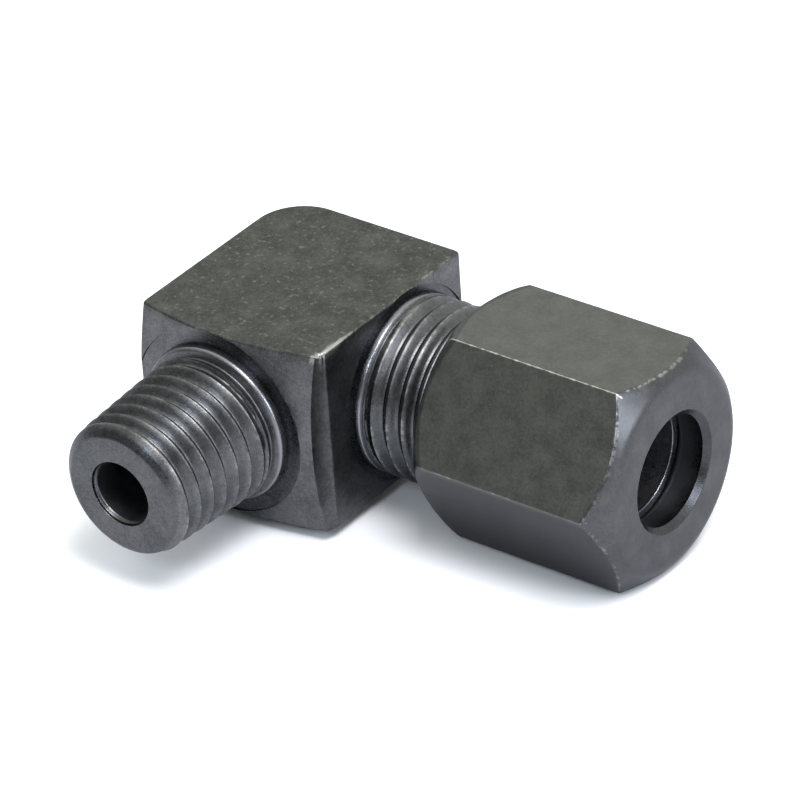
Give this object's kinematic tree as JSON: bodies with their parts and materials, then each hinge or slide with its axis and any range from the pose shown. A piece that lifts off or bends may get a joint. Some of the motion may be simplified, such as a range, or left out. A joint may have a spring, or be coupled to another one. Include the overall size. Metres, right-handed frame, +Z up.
{
  "type": "elbow tube connector",
  "caption": "Right-angle compression fitting: a square block with a tapered threaded stud and a socket for a 6 mm tube, closed by a hexagonal union nut over a cutting ring.",
  "frame": {"origin": "the stop that the tube's end meets, on the tube's axis", "axes": "+X out along the tube, the stud points along -Y, +Z up and square to both arms"},
  "size_m": [0.0285, 0.0236, 0.0122],
  "materials": {
    "body_steel": "dark phosphate, satin",
    "ring_steel": "turned steel, satin",
    "nut_steel": "dark phosphate, satin"
  },
  "bodies": {
    "elbow": {"elbow_body": "body_steel"},
    "ring": {"cutting_ring": "ring_steel"},
    "nut": {"union_nut": "nut_steel"}
  },
  "joints": [
    {"name": "nut_travel", "type": "slide", "parent": "elbow", "child": "ring", "axis": [1, 0, 0], "range_m": [-0.00143, 0.004]},
    {"name": "nut_turn", "type": "hinge", "parent": "ring", "child": "nut", "pos_m": [0, 0, 0], "axis": [1, 0, 0], "range_deg": [-514, 1439]}
  ],
  "couplings": [
    {"joint": "nut_travel", "follows": "nut_turn", "m_per_rad": 0.00015915}
  ]
}
